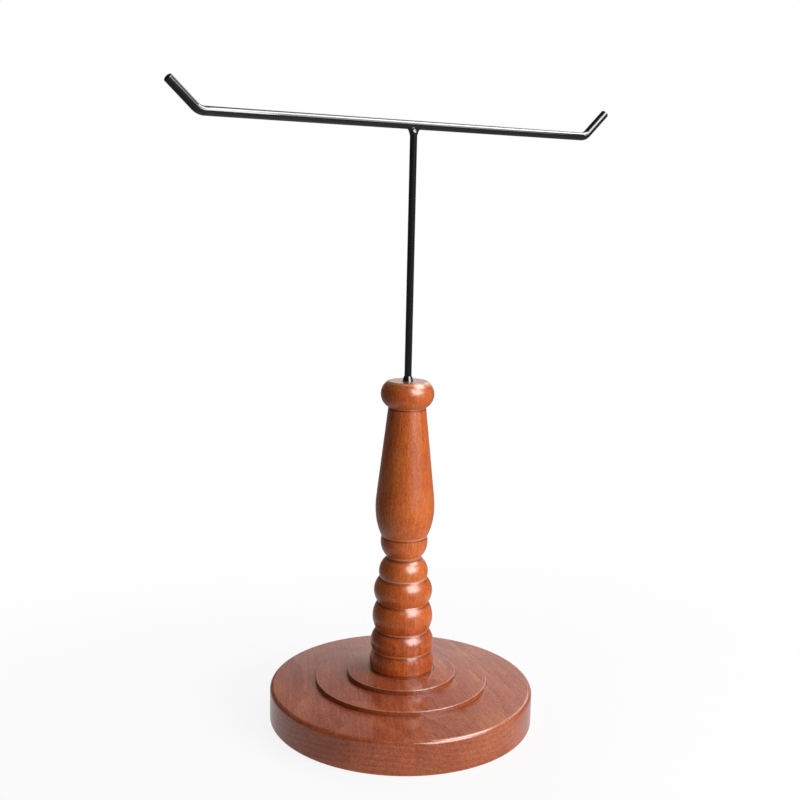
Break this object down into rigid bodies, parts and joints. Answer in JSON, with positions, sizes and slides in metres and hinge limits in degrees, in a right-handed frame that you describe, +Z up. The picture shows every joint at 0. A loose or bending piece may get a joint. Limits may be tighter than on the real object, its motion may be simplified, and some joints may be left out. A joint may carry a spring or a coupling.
{
  "type": "jewelry t-bar stand",
  "caption": "Free-standing T-bar stand: stepped round wooden base, turned post and a lift-out, swivelling black steel crossbar with upturned ends.",
  "frame": {"origin": "middle of the rest face, under the post", "axes": "+Z up along the post; +X along the crossbar at rest; +Y across it"},
  "size_m": [0.3002, 0.16, 0.3714],
  "materials": {
    "base_wood": "semi-gloss reddish-brown lacquer",
    "post_wood": "gloss orange-brown lacquer",
    "black_paint": "gloss black paint",
    "felt": "black felt",
    "zinc_steel": "zinc-plated"
  },
  "bodies": {
    "stand": {"base_board_left": "base_wood", "base_board_right": "base_wood", "underside_pad": "felt", "post": "post_wood", "post_screw": "zinc_steel", "screw_washer": "zinc_steel"},
    "bush": {"rod_bush": "black_paint"},
    "t_bar": {"upright": "black_paint", "crossbar": "black_paint", "tee_weld": "black_paint"}
  },
  "joints": [
    {"name": "t_bar_swivel", "type": "hinge", "parent": "stand", "child": "bush", "pos_m": [0, 0, 0.2082], "axis": [0, 0, 1], "continuous": true},
    {"name": "t_bar_lift_out", "type": "slide", "parent": "bush", "child": "t_bar", "axis": [0, 0, 1], "range_m": [0, 0.06]}
  ]
}
